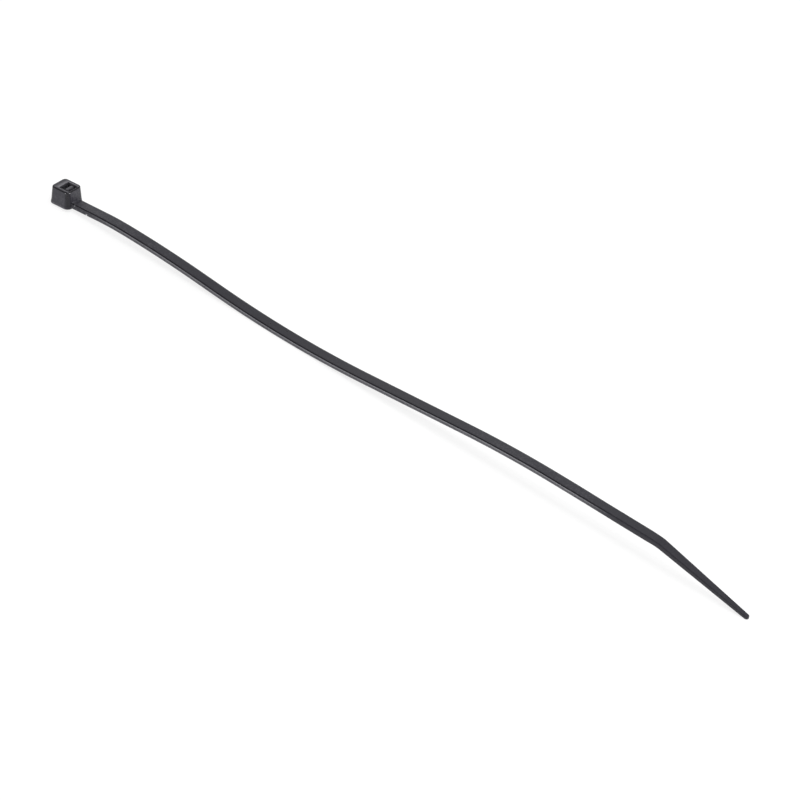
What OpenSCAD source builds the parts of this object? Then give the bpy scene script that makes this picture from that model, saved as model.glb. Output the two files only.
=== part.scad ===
// Small ratchet cable tie, moulded in one piece from black nylon and bent a little from handling.
// It lies as it came to rest, on the low point of its strap and on the tip of its tail, with the
// head's foot just clear of the floor.
// The origin is the middle of the slot's mouth in the head's foot, X runs along the strap from the
// head to the tail, and Z points up.

/* [Strap] */
// Whole length of the tie, head and tail together, measured along the strap
tie_len = 203.8; // [196:0.2:240]
// Width of the strap
strap_w = 2.8; // [2.65:0.05:2.9]
// Thickness of the strap over its side rails
strap_t = 1.22; // [1.1:0.02:1.36]
// Radius along the strap's four long edges
strap_edge_r = 0.18; // [0.1:0.01:0.3]
// Height of the strap's underside over the head's foot
strap_rise = 0.12; // [0.1:0.02:0.4]
// Radius of the fillets where the strap leaves the head
neck_r = 0.3; // [0.2:0.05:0.4]

/* [Teeth] */
// Distance from one tooth to the next
tooth_pitch = 1; // [0.8:0.05:1.2]
// Width of the toothed groove in the underside
groove_w = 1.65; // [1.4:0.05:1.85]
// Depth of the groove at the foot of each tooth
groove_depth = 0.45; // [0.3:0.01:0.55]
// Depth of each tooth's crest below the side rails
crest_depth = 0.08; // [0.04:0.01:0.15]
// Smooth length of strap between the head and the first tooth
plain_len = 11; // [6:0.5:20]

/* [Tail] */
// Length of the tapered tail, which has no teeth
tail_len = 29; // [24:0.5:40]
// Width of the tail just before its round tip
tip_w = 1.2; // [1:0.05:1.6]
// Thickness of the tail at its tip
tip_t = 0.66; // [0.5:0.02:0.9]
// Radius along the edges of the tip
tip_edge_r = 0.15; // [0.1:0.01:0.2]

/* [Head] */
// Length of the head's foot along the strap
head_len = 6.1; // [6:0.05:6.6]
// Width of the head's foot
head_w = 5.5; // [5.3:0.05:6]
// Height of the head
head_h = 4.15; // [4.05:0.05:4.7]
// Radius of the head's upright corners at the foot
head_corner_r = 1.4; // [1.2:0.05:1.5]
// How far each wall leans in from foot to top
wall_draft = 0.36; // [0.2:0.01:0.42]
// Radius around the bottom of the head
foot_r = 0.2; // [0.1:0.01:0.25]
// Radius around the rim at the top of the head
rim_r = 0.26; // [0.15:0.01:0.35]
// How far the walls flare out just above the foot
flare = 0.11; // [0.05:0.01:0.15]
// Height over which that flare fades out
flare_h = 1.1; // [0.6:0.05:1.5]

/* [Slot] */
// Length of the slot along the strap
slot_len = 3.05; // [2.9:0.05:3.15]
// Width of the slot
slot_w = 3.02; // [2.95:0.01:3.1]
// Thickness of the wall between the slot and the strap, at the foot
near_wall = 0.85; // [0.84:0.01:0.95]
// Width of the sloping lead-in around the slot's mouth in the foot
lead_in = 0.18; // [0.1:0.01:0.2]

/* [Pawl] */
// Width of the pawl
pawl_w = 2; // [1.7:0.05:2.3]
// Thickness of the pawl's stem
pawl_t = 0.7; // [0.5:0.02:0.8]
// Height of the pawl's root over the foot
pawl_root_h = 0.8; // [0.65:0.05:0.95]
// Height of the pawl's top over the foot
pawl_top_h = 3.95; // [3.6:0.05:4]
// Free gap between the pawl's teeth and the slot's far wall
pawl_gap = 1.1; // [0.95:0.01:1.2]
// Depth of each tooth on the pawl
pawl_tooth = 0.2; // [0.1:0.01:0.25]
// Height of the hinge by which the pawl hangs on the wall
pawl_hinge_h = 1; // [0.8:0.05:1.2]
// Plain height of the pawl below its lowest tooth
pawl_stem_h = 0.7; // [0.6:0.05:0.8]
// Plain height of the pawl above its highest tooth
pawl_nose_h = 0.3; // [0.26:0.01:0.4]
// Size of the bevels on the pawl's nose
pawl_bevel = 0.12; // [0.08:0.01:0.13]

/* [Hidden] */
$fa = 2;
$fs = 0.06;

NYLON = [0.1, 0.1, 0.11];
// A cut reaches this far past the faces that it opens
PAST = 1;

// How far the head is tipped back, with its strap side up
HEAD_LIFT = 5.54;
// The strap as it lies, from the head on: the length of each stretch and the angle by which it
// turns down, chosen by hand to follow the bends that handling left in it
BENDS = [
    [5.3, 0], [11, 5.5], [21, 4.1], [6, 0], [43.5, -9.5], [29, 0], [26, 5.2], [8, 0], [9, 0.3]
];
// The knee at the start of the tail, in the same form
KNEE = [6, 11.6];
// Longest step along a bend between two rings of the strap's skin
BEND_STEP = 4;
// Steps around each of the strap's long edges
EDGE_STEPS = 4;
// Steps and angle that round off the tip
TIP_STEPS = 5;
TIP_TURN = 75;

// Places along the upright head, from the middle of its foot
root_x = head_len / 2;
slot_near_x = root_x - near_wall;
slot_far_x = slot_near_x - slot_len;
slot_mid_x = (slot_near_x + slot_far_x) / 2;

strap_len = tie_len - head_len;
// Where the teeth end and the taper begins
taper_from = strap_len - tail_len;

function sum_to(list, column, count) =
    count <= 0 ? 0 : list[count - 1][column] + sum_to(list, column, count - 1);

// A straight stretch takes up what is left before the tail, and the tail ends straight too
BENDS_LEN = sum_to(BENDS, 0, len(BENDS));
RUNS = concat(BENDS, [[taper_from - BENDS_LEN, 0], KNEE, [tail_len - KNEE[0], 0]]);

// Turns a point of the upright head, seen from the side, with the head as it is tipped back
function tipped(x, z) = let (a = HEAD_LIFT) [x * cos(a) - z * sin(a), x * sin(a) + z * cos(a)];

// A place on the strap is [x, z, pitch], where the pitch is positive when it runs downhill
function forward(pitch) = [cos(pitch), -sin(pitch)];
function upward(pitch) = [sin(pitch), cos(pitch)];

// Where a point lands after it goes some distance into a run, at a height over the underside
function along(from, run, distance, height) =
    run[1] == 0
    ? [from[0], from[1]] + distance * forward(from[2]) + height * upward(from[2])
    : let (
        radius = run[0] * 180 / (PI * run[1]),
        centre = [from[0], from[1]] - radius * upward(from[2]),
        pitch = from[2] + run[1] * distance / run[0]
      )
      centre + (radius + height) * upward(pitch);

function run_start(index) =
    index == 0
    ? let (at = tipped(root_x - slot_mid_x, strap_rise)) [at[0], at[1], -HEAD_LIFT]
    : let (from = run_start(index - 1), run = RUNS[index - 1], at = along(from, run, run[0], 0))
      [at[0], at[1], from[2] + run[1]];

STARTS = [for (i = [0 : len(RUNS)]) run_start(i)];

function run_of(distance, index = 0) =
    index >= len(RUNS) - 1 || distance <= sum_to(RUNS, 0, index + 1) ? index
    : run_of(distance, index + 1);

// A point on the strap by its distance from the head and its height over the underside
function on_strap(distance, height) =
    let (i = run_of(distance))
    along(STARTS[i], RUNS[i], distance - sum_to(RUNS, 0, i), height);

// How far along the taper a ring lies, from 0 where it begins to 1 at the tip
function taper(distance) = max(0, (distance - taper_from) / tail_len);
function mix(first, last, share) = first + (last - first) * share;

// Corner points of a rounded cross-section as [sideways, up], one turn from the lower right
function section(width, thick, edge) = [
    for (turn = [0 : 3], step = [0 : EDGE_STEPS])
        let (
            a = -90 + turn * 90 + step * 90 / EDGE_STEPS,
            side = turn < 2 ? 1 : -1,
            level = turn == 1 || turn == 2 ? thick - edge : edge
        )
        [side * (width / 2 - edge) + edge * cos(a), level + edge * sin(a)]
];

// Each ring of the skin is [distance, width]: one inside the head's wall, those along the bends
// and down the straight tail, and then the ones that round off the tip
tip_r = tip_w / 2;
bend_rings = [
    for (i = [0 : len(RUNS) - 1])
        let (
            start = sum_to(RUNS, 0, i),
            length = RUNS[i][0] - (i == len(RUNS) - 1 ? tip_r : 0),
            steps = RUNS[i][1] == 0 ? 1 : ceil(RUNS[i][0] / BEND_STEP)
        )
        for (step = [0 : steps - 1])
            let (at = start + length * step / steps)
            [at, mix(strap_w, tip_w, taper(at))]
];
tip_rings = [
    for (step = [0 : TIP_STEPS])
        let (turn = TIP_TURN * step / TIP_STEPS)
        [strap_len - tip_r + tip_r * sin(turn), tip_w * cos(turn)]
];
rings = concat([[-near_wall * 0.3, strap_w]], bend_rings, tip_rings);

// The strap and its tail as one skin over the rings, closed at both ends
module strap_skin() {
    count = 4 * (EDGE_STEPS + 1);
    points = [
        for (ring = rings)
            let (
                share = taper(ring[0]),
                thick = mix(strap_t, tip_t, share),
                edge = min(mix(strap_edge_r, tip_edge_r, share), ring[1] / 2.2)
            )
            for (corner = section(ring[1], thick, edge))
                let (at = on_strap(ring[0], corner[1]))
                [at[0], corner[0], at[1]]
    ];
    sides = [
        for (ring = [0 : len(rings) - 2], i = [0 : count - 1])
            let (low = ring * count, next = (i + 1) % count)
            [low + count + i, low + count + next, low + next, low + i]
    ];
    first_cap = [for (i = [0 : count - 1]) i];
    last_cap = [for (i = [count - 1 : -1 : 0]) (len(rings) - 1) * count + i];
    polyhedron(points, concat(sides, [first_cap, last_cap]));
}

tooth_count = floor((taper_from - plain_len) / tooth_pitch);

// The groove's outline from the side: a steep face looks towards the head on each tooth, and a
// ramp runs from its crest down to the foot of the next
module toothed_groove() {
    ends = [on_strap(plain_len, groove_depth),
            on_strap(plain_len + tooth_count * tooth_pitch, groove_depth)];
    teeth = [for (i = [1 : tooth_count - 1], depth = [groove_depth, crest_depth])
        on_strap(plain_len + i * tooth_pitch, depth)];
    open_side = [for (i = [tooth_count : -1 : 0]) on_strap(plain_len + i * tooth_pitch, -PAST)];
    translate([0, groove_w / 2, 0]) rotate([90, 0, 0])
        linear_extrude(groove_w) polygon(concat([ends[0]], teeth, [ends[1]], open_side));
}

// Concave fillets where the strap's top and its two sides meet the head's leaning wall
module neck() {
    wall = near_wall * 0.4;
    // The fillets' arcs dip this far into the strap, and their ends stay this far off its edges
    dip = 0.01;
    inset = 1.3 * strap_edge_r;
    wall_x = root_x - wall_in(strap_rise + strap_t + neck_r) + 2 * dip;
    difference() {
        translate([wall_x - wall, -strap_w / 2 - neck_r, strap_rise + inset])
            cube([wall + neck_r, strap_w + 2 * neck_r, strap_t - 2 * inset]);
        for (side = [-1, 1])
            translate([wall_x + neck_r, side * (strap_w / 2 + neck_r - dip), 0])
                cylinder(r = neck_r, h = head_h);
    }
    difference() {
        translate([wall_x - wall, inset - strap_w / 2, strap_rise + strap_t / 2])
            cube([wall + neck_r, strap_w - 2 * inset, strap_t / 2 + neck_r]);
        translate([wall_x + neck_r, 0, strap_rise + strap_t + neck_r - dip])
            rotate([90, 0, 0]) cylinder(r = neck_r, h = strap_w + 2 * neck_r, center = true);
    }
}

// How far a wall stands in from the foot's outline at a height: the draft and the flare
function wall_in(height) =
    let (left = max(0, 1 - height / flare_h))
    wall_draft * height / head_h + flare * (1 - left * left);

// Distance from a corner's axis to the wall, as [distance, height] points from the foot up
wall_profile = let (
    base = head_corner_r + wall_in(foot_r),
    rim_at = head_h - rim_r,
    reach = base - wall_in(head_h) - rim_r
) concat(
    [for (a = [0 : 18 : 90]) [head_corner_r - foot_r * (1 - sin(a)), foot_r * (1 - cos(a))]],
    [for (step = [1 : 5])
        let (height = mix(foot_r, flare_h, step / 5)) [base - wall_in(height), height]],
    [for (a = [0 : 15 : 90]) [reach + rim_r * cos(a), rim_at + rim_r * sin(a)]]
);

// One upright corner of the head
module corner_post() {
    rotate_extrude() polygon(concat([[0, 0]], wall_profile, [[0, head_h]]));
}

// A wall that runs along +X from the origin and faces +Y, solid to some depth behind its axis
module wall_slab(length, depth) {
    rotate([90, 0, 90]) linear_extrude(length)
        polygon(concat([[-depth, 0]], wall_profile, [[-depth, head_h]]));
}

module head_block() {
    post_x = head_len / 2 - head_corner_r;
    post_y = head_w / 2 - head_corner_r;
    for (x = [-post_x, post_x], y = [-post_y, post_y]) translate([x, y, 0]) corner_post();
    translate([-post_x, post_y, 0]) wall_slab(2 * post_x, post_y);
    translate([post_x, -post_y, 0]) rotate(180) wall_slab(2 * post_x, post_y);
    translate([post_x, post_y, 0]) rotate(-90) wall_slab(2 * post_y, post_x);
    translate([-post_x, -post_y, 0]) rotate(90) wall_slab(2 * post_y, post_x);
}

// The slot goes right through, with a sloping lead-in around its mouth in the foot
module slot_cut() {
    deep = 2 * lead_in;
    translate([slot_far_x, -slot_w / 2, -PAST]) cube([slot_len, slot_w, head_h + 2 * PAST]);
    translate([0, slot_w / 2, 0]) rotate([90, 0, 0]) linear_extrude(slot_w)
        polygon([[slot_far_x - lead_in, -PAST], [slot_near_x + lead_in, -PAST],
                 [slot_near_x + lead_in, 0], [slot_near_x, deep],
                 [slot_far_x, deep], [slot_far_x - lead_in, 0]]);
}

// The pawl rises from the wall on the strap's side and leans towards the far wall, where its
// teeth catch the strap that has come up through the slot
module pawl() {
    wall_x = slot_near_x + near_wall / 2;
    crest_x = slot_far_x + pawl_gap;
    foot_x = crest_x + pawl_tooth;
    face_low = pawl_root_h + pawl_stem_h;
    hinge_top = pawl_root_h + pawl_hinge_h;
    step = (pawl_top_h - pawl_nose_h - face_low) / 3;
    teeth = [for (i = [0 : 2], corner = [[foot_x, 0.15], [crest_x, 0.95]])
        [corner[0], face_low + (i + corner[1]) * step]];
    translate([0, pawl_w / 2, 0]) rotate([90, 0, 0]) linear_extrude(pawl_w)
        polygon(concat(
            [[wall_x, pawl_root_h], [slot_near_x - pawl_t / 2, pawl_root_h]],
            teeth,
            [[foot_x, pawl_top_h - 2 * pawl_bevel], [foot_x + pawl_bevel, pawl_top_h],
             [foot_x + pawl_t, pawl_top_h],
             [foot_x + pawl_t + pawl_bevel, pawl_top_h - pawl_bevel],
             [slot_near_x - pawl_bevel, hinge_top + pawl_bevel], [wall_x, hinge_top]]));
}

module head() {
    difference() {
        head_block();
        slot_cut();
    }
    pawl();
}

module cable_tie() {
    color(NYLON) {
        rotate([0, -HEAD_LIFT, 0]) translate([-slot_mid_x, 0, 0]) {
            head();
            neck();
        }
        difference() {
            strap_skin();
            toothed_groove();
        }
    }
}

cable_tie();
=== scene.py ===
import math

import bmesh
import bpy
from mathutils import Matrix, Vector
from mathutils.kdtree import KDTree


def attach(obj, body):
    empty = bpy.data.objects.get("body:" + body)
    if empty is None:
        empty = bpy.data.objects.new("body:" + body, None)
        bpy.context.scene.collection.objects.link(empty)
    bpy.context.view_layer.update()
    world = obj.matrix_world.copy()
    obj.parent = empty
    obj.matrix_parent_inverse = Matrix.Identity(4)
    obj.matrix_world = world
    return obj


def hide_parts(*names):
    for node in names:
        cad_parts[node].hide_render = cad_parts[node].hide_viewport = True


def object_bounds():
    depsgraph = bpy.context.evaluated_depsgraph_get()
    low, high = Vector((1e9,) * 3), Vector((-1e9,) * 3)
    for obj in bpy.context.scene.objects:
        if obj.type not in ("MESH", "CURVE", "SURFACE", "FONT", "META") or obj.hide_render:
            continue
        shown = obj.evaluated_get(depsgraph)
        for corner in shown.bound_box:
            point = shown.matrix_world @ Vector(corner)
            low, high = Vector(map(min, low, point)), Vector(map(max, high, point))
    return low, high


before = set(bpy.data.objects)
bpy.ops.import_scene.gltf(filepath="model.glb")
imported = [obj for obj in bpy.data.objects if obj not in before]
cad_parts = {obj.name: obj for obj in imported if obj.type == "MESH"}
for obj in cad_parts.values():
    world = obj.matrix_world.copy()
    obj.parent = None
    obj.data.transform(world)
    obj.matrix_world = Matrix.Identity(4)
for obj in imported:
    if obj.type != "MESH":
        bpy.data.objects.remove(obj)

CAD_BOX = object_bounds()
MM = 0.001

# Sizes of the tie, in millimetres, as the part has them
TIE_LEN = 203.8
STRAP_W, STRAP_T, STRAP_EDGE_R, STRAP_RISE = 2.8, 1.22, 0.18, 0.12
TOOTH_PITCH, GROOVE_W, GROOVE_DEPTH, CREST_DEPTH, PLAIN_LEN = 1.0, 1.65, 0.45, 0.08, 11.0
TAIL_LEN, TIP_W, TIP_T = 29.0, 1.2, 0.66
HEAD_LEN, HEAD_W, HEAD_H, HEAD_CORNER_R = 6.1, 5.5, 4.15, 1.4
WALL_DRAFT, FLARE, FLARE_H, FOOT_R, RIM_R = 0.36, 0.11, 1.1, 0.2, 0.26
SLOT_LEN, SLOT_W, NEAR_WALL, LEAD_IN = 3.05, 3.02, 0.85, 0.18
PAWL_W, PAWL_T, PAWL_ROOT_H, PAWL_TOP_H, PAWL_GAP, PAWL_TOOTH = 2.0, 0.7, 0.8, 3.95, 1.1, 0.2
PAWL_HINGE_H, PAWL_STEM_H, PAWL_NOSE_H, PAWL_BEVEL, PAWL_TEETH = 1.0, 0.7, 0.3, 0.12, 3

# How far the head is tipped back as the tie lies, in degrees
HEAD_LIFT = 5.54
# Stretches of the strap from the head on: length and the angle by which each turns down
BENDS = [(5.3, 0), (11, 5.5), (21, 4.1), (6, 0), (43.5, -9.5), (29, 0), (26, 5.2), (8, 0), (9, 0.3)]
KNEE = (6, 11.6)

# Detail that only this model has, in millimetres. The strap's top edges are rounder than its lower
# ones, and a fine parting line runs down each flank
TOP_EDGE_R, PARTING_Z, PARTING_REACH, PARTING_DEPTH = 0.28, 0.52, 0.07, 0.03
# Towards both ends of the strap the flanks lean: out at the bottom and in at the top
FLANK_OUT, FLANK_IN = 0.1, 0.22
# The fillet at the neck, and how far inside the head's wall it and the strap start
NECK_R, NECK_SUNK, STRAP_SUNK = 0.2, 0.1, 0.3
SLOT_CORNER_R, SLOT_BROKEN, PAWL_SIDE_R = 0.08, 0.05, 0.05
# The length of the sharp middle of the knee
KNEE_CORE = 2.0

# Where the strap's shape and its painted light and shade change, by the distance from the head: each fade's
# start and end
TOP_SETTLES, TOP_DARKENS, TOP_RECOVERS = (8, 22), (22, 42), (108, 124)
FLANKS_SHARPEN, FLANK_LIGHT_SHOWS, FLANKS_SOFTEN, TAIL_SHADE = (4, 11), (5, 12), (146, 163), (150, 164)
# A nick in the near lower edge and a light mark across the near top edge, each from and to
NICK_PALE, NICK_CUT, NICK_RISE, NICK_IN = (4.15, 4.6), (4.25, 4.5), 0.06, 0.08
NECK_MARK, NECK_MARK_Z = (0.6, 0.75), 0.8
# Painted highlights: glints on the head's near corner, just over its rim's lower edge: angles round the
# corner from the strap's side, in degrees, and finish
RIM_GLINTS = (((5, 22), 3.6), ((70, 85), 2.8))
RIM_GLINT_H = 0.1
# Painted light: the head's foot is paler towards the floor. The height to which it reaches, and its finish
# at the floor
FOOT_LIGHT_H, FOOT_LIGHT_FINISH = 0.7, 1.5

# The finish of the strap's flanks, which paints their light and shade: dark painted reflections on the
# rounded edges and pale painted highlight bands between them. Height over the underside, and finish there
FLANK_BANDS = (
    (0.0, 0.2),
    (STRAP_EDGE_R, 1.4),
    (PARTING_Z - PARTING_REACH, 1.4),
    (PARTING_Z, 1.1),
    (PARTING_Z + PARTING_REACH, 1.35),
    (0.7, 1.4),
    (0.82, 2.25),
    (STRAP_T - TOP_EDGE_R, 2.25),
    (STRAP_T - TOP_EDGE_R + 0.06, 0.0),
    (STRAP_T, 0.0),
)
# Those of the bands that need a line of edges of their own
CUT_BANDS = FLANK_BANDS[2:7]

STRAP_LEN = TIE_LEN - HEAD_LEN
TAPER_FROM = STRAP_LEN - TAIL_LEN
TIP_R = TIP_W / 2
TEETH = int((TAPER_FROM - PLAIN_LEN) / TOOTH_PITCH + 1e-6)
LAST_TOOTH = PLAIN_LEN + TEETH * TOOTH_PITCH
ROOT_X = HEAD_LEN / 2
SLOT_NEAR_X = ROOT_X - NEAR_WALL
SLOT_FAR_X = SLOT_NEAR_X - SLOT_LEN
SLOT_MID_X = (SLOT_NEAR_X + SLOT_FAR_X) / 2
RIM_BASE = HEAD_H - RIM_R
BEFORE_KNEE = TAPER_FROM - sum(length for length, turn in BENDS) + (KNEE[0] - KNEE_CORE) / 2
RUNS = BENDS + [(BEFORE_KNEE, 0), (KNEE_CORE, KNEE[1]), (TAIL_LEN - (KNEE[0] + KNEE_CORE) / 2, 0)]

# Differences in millimetres too small to be meant
NEAR, CLOSE = 1e-3, 1e-4

# The view in the upright head's own frame: height and turn round the tie, in degrees
VIEW_HEIGHT, VIEW_TURN = 32.883, 42.609
# The point that the view is centred on, its shift over the picture, and the distance to it
AIM = (0.099803, 0.0, 0.001643)
AIM_SIDEWAYS, AIM_UP = -0.000481, -0.000027
VIEW_DISTANCE = 2.3
PIXELS_PER_METRE = 4655.3
PHOTO_SIZE = 800
SENSOR = 36.0

# The lamps: direction from the tie, distance, size, power, and whether the tie's gloss shows it
LAMPS = {
    "front": ((-0.45, -0.88, 0.14), 0.9, (0.9, 0.25), 4.0, False),
    "side": ((0.9, 0.35, 0.2), 0.9, (0.4, 0.25), 4.5, False),
    "corner": ((0.4, -0.35, 0.82), 1.0, (0.08, 0.08), 1.0, True),
    "overhead": ((0.0, 0.05, 1.0), 1.6, (0.8, 0.8), 11.0, True),
}


def mix(first, last, share):
    return first + (last - first) * share


def eased(value, low, high):
    """Rises smoothly from 0 at one value to 1 at another."""
    share = max(0.0, min(1.0, (value - low) / (high - low)))
    return share * share * (3 - 2 * share)


def tipped_back(vector):
    """A direction or point of the upright head, as the head lies."""
    return Matrix.Rotation(-math.radians(HEAD_LIFT), 3, "Y") @ Vector(vector)


def photo_camera():
    """The camera at the photo's angle, far away with a long lens."""
    height, turn = math.radians(VIEW_HEIGHT), math.radians(VIEW_TURN)
    ahead = tipped_back((-math.sin(turn) * math.cos(height),
                         math.cos(turn) * math.cos(height),
                         -math.sin(height)))
    right = tipped_back((math.cos(turn), math.sin(turn), 0.0))
    up = tipped_back((-math.sin(turn) * math.sin(height),
                      math.cos(turn) * math.sin(height),
                      math.cos(height)))
    place = Vector(AIM) + right * AIM_SIDEWAYS + up * AIM_UP - ahead * VIEW_DISTANCE
    data = bpy.data.cameras.new("camera")
    camera = bpy.data.objects.new("camera", data)
    bpy.context.scene.collection.objects.link(camera)
    camera.matrix_world = Matrix.Translation(place) @ Matrix((right, up, -ahead)).transposed().to_4x4()
    data.sensor_width = SENSOR
    data.lens = SENSOR * PIXELS_PER_METRE * VIEW_DISTANCE / PHOTO_SIZE
    data.clip_start = 0.05
    data.clip_end = 20.0
    bpy.context.scene.camera = camera


# The strap's course
def point_along(start, length, turn, distance, height):
    """A point some distance into a stretch, at a height over its underside."""
    x, z, pitch = start
    if turn == 0:
        a = math.radians(pitch)
        return (x + distance * math.cos(a) + height * math.sin(a),
                z - distance * math.sin(a) + height * math.cos(a))
    radius = length / math.radians(turn)
    a, b = math.radians(pitch), math.radians(pitch + turn * distance / length)
    return (x - radius * math.sin(a) + (radius + height) * math.sin(b),
            z - radius * math.cos(a) + (radius + height) * math.cos(b))


def run_starts():
    """Where each stretch of the strap begins as it lies: x, z and pitch in degrees."""
    at = tipped_back((ROOT_X - SLOT_MID_X, 0.0, STRAP_RISE))
    starts = [(at.x, at.z, -HEAD_LIFT)]
    for length, turn in RUNS:
        end = point_along(starts[-1], length, turn, length, 0.0)
        starts.append((end[0], end[1], starts[-1][2] + turn))
    return starts


STARTS = run_starts()


def on_strap(distance, height):
    """A point on the strap by its distance from the head and its height over the underside."""
    done = 0.0
    for i, (length, turn) in enumerate(RUNS):
        if distance <= done + length or i == len(RUNS) - 1:
            return point_along(STARTS[i], length, turn, distance - done, height)
        done += length


# Mesh steps that the pieces share
def skin_layer(bm):
    """The finish of the skin at each vertex, which sets both its gloss and its colour: 0 is polished and
    painted dark, a painted shade as on a rounded edge, 1 is the satin of the flat faces, and more is paler,
    painted highlight and reflection."""
    return bm.verts.layers.float.get("skin") or bm.verts.layers.float.new("skin")


def block(bm, low, high):
    """A box between two corners."""
    low, high = Vector(low), Vector(high)
    place = Matrix.Translation((low + high) / 2) @ Matrix.Diagonal((*(high - low), 1.0))
    bmesh.ops.create_cube(bm, size=1.0, matrix=place)


def cut_across(bm, point, normal):
    """Cuts a line of edges where a plane crosses the mesh."""
    geometry = bm.verts[:] + bm.edges[:] + bm.faces[:]
    bmesh.ops.bisect_plane(bm, geom=geometry, dist=1e-5, plane_co=point, plane_no=normal)


def round_off(bm, edges, radius, segments):
    bmesh.ops.bevel(bm, geom=edges, offset=radius, offset_type="OFFSET", affect="EDGES",
                    segments=segments, profile=0.5, material=-1, clamp_overlap=True)


def upright_edges(bm):
    return [edge for edge in bm.edges if abs(edge.verts[0].co.z - edge.verts[1].co.z) > 1]


def ring_edges(bm, height):
    """The edges around a flat face at a height."""
    return [edge for edge in bm.edges
            if all(abs(vert.co.z - height) < CLOSE for vert in edge.verts)
            and sum(abs(face.normal.z) > 0.9 for face in edge.link_faces) == 1]


# The head
def wall_in(height):
    """How far a wall of the head stands in from the foot's outline."""
    left = max(0.0, 1 - height / FLARE_H)
    return WALL_DRAFT * height / HEAD_H + FLARE * (1 - left * left)


def head_finish(place, out):
    """The finish of the head's outside at a place, by its way out from the middle of its corner. Its colour
    holds painted light and shade: dark corners and rim, a lighter right face, pale glints and a paler foot.
    """
    around = math.atan2(abs(out.y), abs(out.x)) if out.length > 1e-6 else 0.0
    # Painted shade: the rounded corners are coloured darker than the flats, standing in for their dark
    # reflection, and are glossier
    finish = 1 - math.sin(2 * around)
    # Painted light: the right-hand face is coloured a little lighter
    if place.x > 0 and finish > 0.9 and abs(out.x) > abs(out.y):
        finish += 0.05
    # Painted shade: the rim's rounding is coloured dark, a painted dark reflection
    if RIM_BASE + NEAR < place.z < HEAD_H - NEAR:
        finish = 0.0
    elif place.z > HEAD_H - NEAR:
        finish = 1.01
    # Painted highlights: small pale glints on the near corner's rim
    if place.x > 0 and place.y < 0 and -NEAR < place.z - RIM_BASE < RIM_GLINT_H:
        for (start, end), glint_finish in RIM_GLINTS:
            if start < math.degrees(around) < end:
                finish = glint_finish
    # Painted light: the foot is coloured paler towards the floor
    if place.z < FOOT_LIGHT_H:
        finish = mix(FOOT_LIGHT_FINISH, finish, place.z / FOOT_LIGHT_H)
    return finish


def head_block():
    """The head's outside: rounded corners, a rounded rim and foot, and walls that flare and lean."""
    bm = bmesh.new()
    block(bm, (-HEAD_LEN / 2, -HEAD_W / 2, 0), (HEAD_LEN / 2, HEAD_W / 2, HEAD_H))
    round_off(bm, upright_edges(bm), HEAD_CORNER_R, 10)
    bm.normal_update()
    round_off(bm, ring_edges(bm, HEAD_H), RIM_R, 6)
    bm.normal_update()
    round_off(bm, ring_edges(bm, 0), FOOT_R, 5)
    for share in (0.12, 0.24, 0.37, 0.5, 0.64, 0.8, 1.0):
        cut_across(bm, (0, 0, mix(FOOT_R, FLARE_H, share)), (0, 0, 1))
    for height in (2.2, RIM_BASE - 0.07):
        cut_across(bm, (0, 0, height), (0, 0, 1))
    skin = skin_layer(bm)
    post_x, post_y = HEAD_LEN / 2 - HEAD_CORNER_R, HEAD_W / 2 - HEAD_CORNER_R
    for vert in bm.verts:
        x, y, z = vert.co
        core = Vector((max(-post_x, min(post_x, x)), max(-post_y, min(post_y, y)), z))
        out = vert.co - core
        vert[skin] = head_finish(vert.co, out)
        if out.length > 1e-6:
            vert.co = core + out * (1 - wall_in(z) / out.length)
    bm.normal_update()
    return bm


def slot_cutter():
    """What the slot takes out: a straight hole with a sloping mouth below and broken edges above."""
    bm = bmesh.new()
    block(bm, (SLOT_FAR_X, -SLOT_W / 2, -1), (SLOT_NEAR_X, SLOT_W / 2, HEAD_H + 1))
    round_off(bm, upright_edges(bm), SLOT_CORNER_R, 2)
    for height in (0, 2 * LEAD_IN, HEAD_H - 3 * SLOT_BROKEN, HEAD_H - SLOT_BROKEN, HEAD_H):
        cut_across(bm, (0, 0, height), (0, 0, 1))
    skin = skin_layer(bm)
    for vert in bm.verts:
        out = -1 if vert.co.x < SLOT_MID_X else 1
        side = -1 if vert.co.y < 0 else 1
        if vert.co.z < CLOSE:
            vert.co.x += out * LEAD_IN
        # Painted light: the slot's walls are coloured paler than the flats, against the shade inside the
        # slot, and its broken top edges paler still, a painted highlight
        vert[skin] = 1.9 if vert.co.z > HEAD_H - 2 * SLOT_BROKEN else 1.3
        if vert.co.z > HEAD_H - CLOSE:
            vert.co.x += out * SLOT_BROKEN
            vert.co.y += side * SLOT_BROKEN
    return bm


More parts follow.
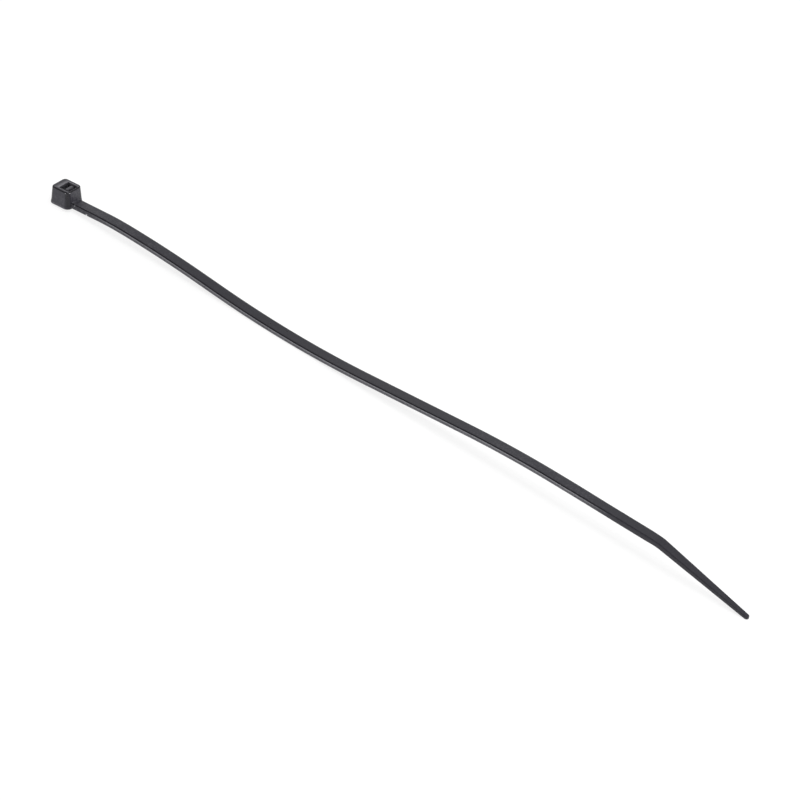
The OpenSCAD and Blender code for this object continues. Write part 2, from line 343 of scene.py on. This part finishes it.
def pawl():
    """The pawl: a leaning tongue hinged low on the strap's wall, toothed towards the far wall."""
    bm = bmesh.new()
    wall_x = SLOT_NEAR_X + NEAR_WALL / 2
    crest_x = SLOT_FAR_X + PAWL_GAP
    foot_x = crest_x + PAWL_TOOTH
    face_low = PAWL_ROOT_H + PAWL_STEM_H
    hinge_top = PAWL_ROOT_H + PAWL_HINGE_H
    step = (PAWL_TOP_H - PAWL_NOSE_H - face_low) / PAWL_TEETH
    outline = [(wall_x, PAWL_ROOT_H), (SLOT_NEAR_X - PAWL_T / 2, PAWL_ROOT_H)]
    for i in range(PAWL_TEETH):
        outline += [(foot_x, face_low + (i + 0.15) * step), (crest_x, face_low + (i + 0.95) * step)]
    outline += [(foot_x, PAWL_TOP_H - 2 * PAWL_BEVEL), (foot_x + PAWL_BEVEL, PAWL_TOP_H),
                (foot_x + PAWL_T, PAWL_TOP_H), (foot_x + PAWL_T + PAWL_BEVEL, PAWL_TOP_H - PAWL_BEVEL),
                (SLOT_NEAR_X - PAWL_BEVEL, hinge_top + PAWL_BEVEL), (wall_x, hinge_top)]
    side = bm.faces.new([bm.verts.new((x, -PAWL_W / 2, z)) for x, z in outline])
    made = bmesh.ops.extrude_face_region(bm, geom=[side])
    moved = [item for item in made["geom"] if isinstance(item, bmesh.types.BMVert)]
    bmesh.ops.translate(bm, verts=moved, vec=(0, PAWL_W, 0))
    bmesh.ops.recalc_face_normals(bm, faces=bm.faces[:])
    sides = [edge for edge in bm.edges if len(edge.link_faces) == 2
             and abs(abs(edge.link_faces[0].normal.y) - abs(edge.link_faces[1].normal.y)) > 0.9]
    round_off(bm, sides, PAWL_SIDE_R, 2)
    skin = skin_layer(bm)
    for vert in bm.verts:
        # Painted shade: the pawl is coloured dark low in the slot, growing paler towards its top
        vert[skin] = 1.35 * eased(vert.co.z, 2.3, PAWL_TOP_H)
    return bm


# The strap
def strap_stations():
    """The distances from the head at which the straight strap gets lines of edges across."""
    stations = [0.03, 0.08, 0.14, 0.22, 0.4]
    stations += [0.56, 0.63, 0.71, 0.78, 1.5, 2.6, 3.4]
    stations += [4.1, 4.2, 4.28, 4.46, 4.54, 4.64, 6, 7.5, 9, PLAIN_LEN, LAST_TOOTH]
    steep = 0.04
    for i in range(1, TEETH):
        stations += [PLAIN_LEN + i * TOOTH_PITCH - steep, PLAIN_LEN + i * TOOTH_PITCH + steep]
    stations += [LAST_TOOTH + i for i in range(1, int(TAIL_LEN))]
    stations += [TAPER_FROM + (KNEE[0] + share * KNEE_CORE) / 2 for share in (-1, -0.5, 0, 0.5, 1)]
    stations = [at for at in stations if at < STRAP_LEN - TIP_R - 0.2]
    tip_turns = (0, 15, 30, 45, 58, 68)
    return stations + [STRAP_LEN - TIP_R + TIP_R * math.sin(math.radians(turn)) for turn in tip_turns]


def sink_groove(bm):
    """Sinks the groove into the strap's underside and leaves a tooth's crest at each pitch."""
    floor = [face for face in bm.faces if face.normal.z < -0.9
             and PLAIN_LEN < face.calc_center_median().x < LAST_TOOTH
             and abs(face.calc_center_median().y) < GROOVE_W / 2 - 0.01]
    made = bmesh.ops.extrude_face_region(bm, geom=floor)
    sunk = [item for item in made["geom"] if isinstance(item, bmesh.types.BMVert)]
    bmesh.ops.delete(bm, geom=floor, context="FACES")
    for vert in sunk:
        into = (vert.co.x - PLAIN_LEN) % TOOTH_PITCH
        first = vert.co.x < PLAIN_LEN + TOOTH_PITCH / 2
        last = vert.co.x > LAST_TOOTH - TOOTH_PITCH / 4
        crest = NEAR < into < TOOTH_PITCH / 4 and not first and not last
        vert.co.z += CREST_DEPTH if crest else GROOVE_DEPTH


def strap_blank():
    """The strap as a straight toothed bar with a tapered tail, before it is bent."""
    bm = bmesh.new()
    block(bm, (-STRAP_SUNK, -STRAP_W / 2, 0), (STRAP_LEN, STRAP_W / 2, STRAP_T))
    for height, radius, segments in ((STRAP_T, TOP_EDGE_R, 6), (0.0, STRAP_EDGE_R, 4)):
        corners = [edge for edge in bm.edges if abs(edge.verts[0].co.x - edge.verts[1].co.x) > 1
                   and abs(edge.verts[0].co.z - height) < CLOSE]
        round_off(bm, corners, radius, segments)
    for height, finish in CUT_BANDS:
        cut_across(bm, (0, 0, height), (0, 0, 1))
    for side in (-1, 1):
        cut_across(bm, (0, side * GROOVE_W / 2, 0), (0, 1, 0))
    for at in strap_stations():
        cut_across(bm, (at, 0, 0), (1, 0, 0))
    bm.normal_update()
    sink_groove(bm)
    finish_strap(bm)
    shape_ends(bm)
    bmesh.ops.recalc_face_normals(bm, faces=bm.faces[:])
    return bm


def flank_band_share(at):
    """How much of the flanks' painted highlight bands and of the parting line shows, by the distance from
    the head.
    """
    return eased(at, *FLANK_LIGHT_SHOWS) * (1 - eased(at, *FLANKS_SOFTEN)) * mix(0.6, 1.0, min(1.0, at / 140))


def broad_finish(at):
    """The finish of the strap's top and underside, which paints their shade: a little lighter by the head,
    darker in its middle and on the tail.
    """
    middle = eased(at, *TOP_DARKENS) * (1 - eased(at, *TOP_RECOVERS))
    return mix(1.05 - 0.04 * eased(at, *TOP_SETTLES) - 0.26 * middle, 0.76, eased(at, *TAIL_SHADE))


def flank_finish(at, z):
    """The finish of the strap's flanks and rounded edges, with their painted highlights and painted shade.
    """
    low, high = next((low, high) for low, high in zip(FLANK_BANDS, FLANK_BANDS[1:])
                     if low[0] - CLOSE <= z <= high[0] + CLOSE)
    band_finish = mix(low[1], high[1], (z - low[0]) / (high[0] - low[0]))
    tail = eased(at, *TAIL_SHADE)
    if band_finish < 1:
        return mix(band_finish, 0.8, tail)
    return mix(mix(1.0, 0.7, tail), band_finish, flank_band_share(at))


def finish_strap(bm):
    """Finishes the strap with its painted light and shade, and gives its flanks their parting line, soft
    ends and nick.
    """
    skin = skin_layer(bm)
    for vert in bm.verts:
        at, y, z = vert.co
        if abs(y) < STRAP_W / 2 - TOP_EDGE_R + NEAR:
            # Painted shade along the strap's top and underside
            vert[skin] = broad_finish(at)
            continue
        # Painted highlight bands and painted dark reflections on the flanks and rounded edges
        vert[skin] = flank_finish(at, z)
        side = math.copysign(1.0, y)
        if abs(z - PARTING_Z) < 0.02 and STRAP_W / 2 - abs(y) < NEAR:
            vert.co.y -= side * PARTING_DEPTH * flank_band_share(at)
        soft = max(1 - eased(at, *FLANKS_SHARPEN), eased(at, *FLANKS_SOFTEN))
        vert.co.y += side * soft * mix(FLANK_OUT, -FLANK_IN, (z / STRAP_T) ** 1.3)
        if y > 0:
            continue
        on_edge = z < STRAP_EDGE_R + NEAR
        if z < PARTING_Z - PARTING_REACH + 0.01 and NICK_PALE[0] < at < NICK_PALE[1]:
            vert[skin] = 3.6 if on_edge else 1.9
        if on_edge and NICK_CUT[0] < at < NICK_CUT[1]:
            vert.co.y += NICK_IN
            vert.co.z += NICK_RISE
        if z > NECK_MARK_Z and NECK_MARK[0] < at < NECK_MARK[1]:
            vert[skin] = 2.1


def shape_ends(bm):
    """Tapers the tail, rounds its tip and flares the root into the head's wall."""
    for vert in bm.verts:
        at, y, z = vert.co
        if at > TAPER_FROM:
            share = (at - TAPER_FROM) / TAIL_LEN
            width, thick = mix(STRAP_W, TIP_W, share), mix(STRAP_T, TIP_T, share)
            if at > STRAP_LEN - TIP_R:
                into = min(0.985, (at - STRAP_LEN + TIP_R) / TIP_R)
                width = TIP_W * math.sqrt(1 - into * into)
            vert.co.y = y * width / STRAP_W
            vert.co.z = z * thick / STRAP_T
        elif at < NECK_R - NECK_SUNK:
            into = NECK_R - max(0.0, at + NECK_SUNK)
            out = NECK_R - math.sqrt(max(0.0, NECK_R * NECK_R - into * into))
            share_up = max(0.0, min(1.0, (z - STRAP_EDGE_R) / (STRAP_T - 2 * STRAP_EDGE_R)))
            if abs(y) > 0.01:
                vert.co.y = y + math.copysign(out, y) * min(1.0, abs(y) / (STRAP_W / 2))
            vert.co.z = z + out * share_up


def bend_strap(bm):
    """Lays the straight strap along its course."""
    for vert in bm.verts:
        x, z = on_strap(vert.co.x, vert.co.z)
        vert.co = (x, vert.co.y, z)
    bm.normal_update()


def tip_head(bm):
    """Moves an upright piece of the head to where it lies."""
    bmesh.ops.translate(bm, verts=bm.verts[:], vec=(-SLOT_MID_X, 0, 0))
    for vert in bm.verts:
        vert.co = tipped_back(vert.co)
    bm.normal_update()
    return bm


# The whole tie
# The finish at each vertex of the separate pieces, kept because joining them mixes it up
PAINTED = []


def mesh_object(bm, name):
    skin = skin_layer(bm)
    PAINTED.extend((vert.co.copy(), vert[skin]) for vert in bm.verts)
    data = bpy.data.meshes.new(name)
    bm.to_mesh(data)
    bm.free()
    made = bpy.data.objects.new(name, data)
    bpy.context.scene.collection.objects.link(made)
    return made


def combine(target, other, operation):
    """Adds another closed mesh to a piece, or takes it out, and deletes the other."""
    change = target.modifiers.new(operation.lower(), "BOOLEAN")
    change.operation = operation
    change.solver = "EXACT"
    change.object = other
    bpy.context.view_layer.objects.active = target
    with bpy.context.temp_override(object=target, active_object=target, selected_objects=[target]):
        bpy.ops.object.modifier_apply(modifier=change.name)
    bpy.data.objects.remove(other)


def repaint(bm):
    """Gives each vertex of the joined tie the finish that it had on its own piece."""
    tree = KDTree(len(PAINTED))
    for i, (place, finish) in enumerate(PAINTED):
        tree.insert(place, i)
    tree.balance()
    skin = skin_layer(bm)
    for vert in bm.verts:
        vert[skin] = PAINTED[tree.find(vert.co)[1]][1]


def make_tie():
    """The whole tie as one closed mesh."""
    tie = mesh_object(tip_head(head_block()), "moulded_tie")
    combine(tie, mesh_object(tip_head(slot_cutter()), "slot_cutter"), "DIFFERENCE")
    combine(tie, mesh_object(tip_head(pawl()), "pawl_blank"), "UNION")
    strap = strap_blank()
    bend_strap(strap)
    combine(tie, mesh_object(strap, "strap_blank"), "UNION")

    bm = bmesh.new()
    bm.from_mesh(tie.data)
    bmesh.ops.remove_doubles(bm, verts=bm.verts[:], dist=0.0005)
    bmesh.ops.dissolve_degenerate(bm, edges=bm.edges[:], dist=0.0002)
    repaint(bm)
    bmesh.ops.scale(bm, verts=bm.verts[:], vec=(MM, MM, MM))
    sharp_from = math.radians(32)
    for edge in bm.edges:
        edge.smooth = edge.calc_face_angle(0.0) < sharp_from
    for face in bm.faces:
        face.smooth = True
    bm.to_mesh(tie.data)
    open_edges = sum(1 for edge in bm.edges if len(edge.link_faces) != 2)
    print("tie:", len(bm.verts), "vertices,", len(bm.faces), "faces,", open_edges, "open edges")
    bm.free()
    even = tie.modifiers.new("even_shading", "WEIGHTED_NORMAL")
    even.keep_sharp = True
    even.weight = 100
    return tie


# Steps of a node tree
def worked(nodes, links, operation, first, second):
    """One step of arithmetic on two values, each a socket or a number."""
    step = nodes.new("ShaderNodeMath")
    step.operation = operation
    for socket, value in zip(step.inputs, (first, second)):
        if isinstance(value, (int, float)):
            socket.default_value = value
        else:
            links.new(value, socket)
    return step.outputs["Value"]


def ranged(nodes, links, source, low, high, to_low, to_high):
    """Maps a value from one range to another and stops at its ends."""
    ranging = nodes.new("ShaderNodeMapRange")
    for name, value in (("From Min", low), ("From Max", high), ("To Min", to_low), ("To Max", to_high)):
        ranging.inputs[name].default_value = value
    links.new(source, ranging.inputs["Value"])
    return ranging.outputs["Result"]


def sized_noise(nodes, links, source, scale, detail, stretch=(1, 1, 1)):
    """A noise on object coordinates, with its features per metre along each axis."""
    place = nodes.new("ShaderNodeMapping")
    place.inputs["Scale"].default_value = tuple(scale * share for share in stretch)
    links.new(source, place.inputs["Vector"])
    noise = nodes.new("ShaderNodeTexNoise")
    noise.inputs["Scale"].default_value = 1.0
    noise.inputs["Detail"].default_value = detail
    links.new(place.outputs["Vector"], noise.inputs["Vector"])
    return noise.outputs["Fac"]


# The studio
def floor_material():
    """Matt white, lifted to full white where the camera or gloss sees it, with the tie's shadow left on."""
    material = bpy.data.materials.new("floor")
    material.use_nodes = True
    nodes, links = material.node_tree.nodes, material.node_tree.links
    surface = nodes["Principled BSDF"]
    surface.inputs["Roughness"].default_value = 0.9
    surface.inputs["Specular IOR Level"].default_value = 0.1
    path = nodes.new("ShaderNodeLightPath").outputs
    seen = worked(nodes, links, "MAXIMUM", path["Is Camera Ray"], path["Is Glossy Ray"])
    seen = worked(nodes, links, "MAXIMUM", seen, path["Is Transmission Ray"])
    own = nodes.new("ShaderNodeMix")
    own.data_type = "RGBA"
    own.inputs["A"].default_value = (0.9, 0.9, 0.9, 1.0)
    own.inputs["B"].default_value = (0.26, 0.26, 0.26, 1.0)
    links.new(seen, own.inputs["Factor"])
    links.new(own.outputs["Result"], surface.inputs["Base Color"])
    glow = nodes.new("ShaderNodeEmission")
    links.new(worked(nodes, links, "MULTIPLY", seen, 0.79), glow.inputs["Strength"])
    both = nodes.new("ShaderNodeAddShader")
    links.new(surface.outputs["BSDF"], both.inputs[0])
    links.new(glow.outputs["Emission"], both.inputs[1])
    links.new(both.outputs["Shader"], nodes["Material Output"].inputs["Surface"])
    return material


def room():
    """A plain world, paler behind the tie than in front of it, and darker overhead."""
    world = bpy.data.worlds.new("studio")
    bpy.context.scene.world = world
    world.use_nodes = True
    nodes, links = world.node_tree.nodes, world.node_tree.links
    parts = nodes.new("ShaderNodeSeparateXYZ")
    links.new(nodes.new("ShaderNodeTexCoord").outputs["Generated"], parts.inputs["Vector"])
    depth = ranged(nodes, links, parts.outputs["Y"], -0.6, 0.6, 0.22, 0.66)
    height = ranged(nodes, links, parts.outputs["Z"], 0.35, 0.8, 1.3, 0.55)
    background = nodes["Background"]
    background.inputs["Color"].default_value = (1.0, 1.0, 1.0, 1.0)
    links.new(worked(nodes, links, "MULTIPLY", depth, height), background.inputs["Strength"])


def soft_lamp(name, direction, distance, size, power, mirrored):
    """A wide soft lamp that faces the middle of the tie from some way off, and may stay out of its gloss."""
    data = bpy.data.lights.new(name, "AREA")
    data.shape = "RECTANGLE"
    data.size, data.size_y = size
    data.energy = power
    target = Vector((0.1, 0.0, 0.0))
    place = target + Vector(direction).normalized() * distance
    lamp = bpy.data.objects.new(name, data)
    bpy.context.scene.collection.objects.link(lamp)
    lamp.visible_glossy = mirrored
    lamp.location = place
    lamp.rotation_euler = (target - place).to_track_quat("-Z", "Y").to_euler()


def studio():
    """Plain pale floor, a pale world and soft lamps."""
    bpy.ops.mesh.primitive_plane_add(size=6.0, location=(0.1, 0.0, CAD_BOX[0][2]))
    floor = bpy.context.object
    floor.name = "floor"
    floor.data.materials.append(floor_material())
    room()
    for name, settings in LAMPS.items():
        soft_lamp(name, *settings)


def nylon():
    """Black moulded nylon: satin flats with a fine grain and polished edges, coloured with painted light and
    shade by each vertex's finish: darker rounded edges, paler flank bands and glints.
    """
    material = bpy.data.materials.new("nylon")
    material.use_nodes = True
    nodes, links = material.node_tree.nodes, material.node_tree.links
    surface = nodes["Principled BSDF"]
    place = nodes.new("ShaderNodeTexCoord").outputs["Object"]
    painted = nodes.new("ShaderNodeAttribute")
    painted.attribute_name = "skin"
    skin = painted.outputs["Fac"]
    cloud = sized_noise(nodes, links, place, 330, 4)
    speck = sized_noise(nodes, links, place, 2600, 3)
    grain = sized_noise(nodes, links, place, 7000, 2)
    drawn = sized_noise(nodes, links, place, 1500, 3, (0.06, 1, 1))

    # The painted finish, with its painted light and shade, wanders a little, so that no band has a hard or
    # even edge
    uneven = worked(nodes, links, "ADD", ranged(nodes, links, cloud, 0.3, 0.7, -0.07, 0.07),
                    ranged(nodes, links, speck, 0.3, 0.7, -0.15, 0.15))
    finish = worked(nodes, links, "ADD", skin, uneven)
    tone = nodes.new("ShaderNodeValToRGB")
    # Colours by finish: 1 is the nylon's own colour, lower ones are painted shade and higher ones painted
    # highlight and reflection
    tones = {0.0: (0.0115, 0.011, 0.0145), 1.0: (0.03, 0.029, 0.0375), 2.0: (0.2, 0.197, 0.214),
             4.0: (0.45, 0.45, 0.46)}
    for i, (at, colour) in enumerate(tones.items()):
        stop = tone.color_ramp.elements[i] if i < 2 else tone.color_ramp.elements.new(at / 4)
        stop.position = at / 4
        stop.color = (*colour, 1.0)
    links.new(worked(nodes, links, "MULTIPLY", finish, 1 / 4), tone.inputs["Fac"])
    links.new(tone.outputs["Color"], surface.inputs["Base Color"])
    surface.inputs["Specular IOR Level"].default_value = 0.36

    sheen = worked(nodes, links, "ADD", ranged(nodes, links, skin, 0, 1.2, 0.27, 0.38),
                   ranged(nodes, links, drawn, 0.3, 0.7, -0.05, 0.05))
    links.new(worked(nodes, links, "ADD", sheen, ranged(nodes, links, cloud, 0.3, 0.7, -0.03, 0.04)),
              surface.inputs["Roughness"])
    relief = worked(nodes, links, "ADD", worked(nodes, links, "MULTIPLY", grain, 0.6),
                    worked(nodes, links, "ADD", worked(nodes, links, "MULTIPLY", speck, 0.8),
                           worked(nodes, links, "MULTIPLY", drawn, 0.6)))
    bump = nodes.new("ShaderNodeBump")
    bump.inputs["Strength"].default_value = 0.5
    bump.inputs["Distance"].default_value = 0.00003
    links.new(relief, bump.inputs["Height"])
    links.new(bump.outputs["Normal"], surface.inputs["Normal"])
    return material


photo_camera()
tie = make_tie()
tie.data.materials.append(nylon())
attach(tie, "root")
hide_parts("cable_tie")
studio()
bpy.context.scene.view_settings.view_transform = "Standard"
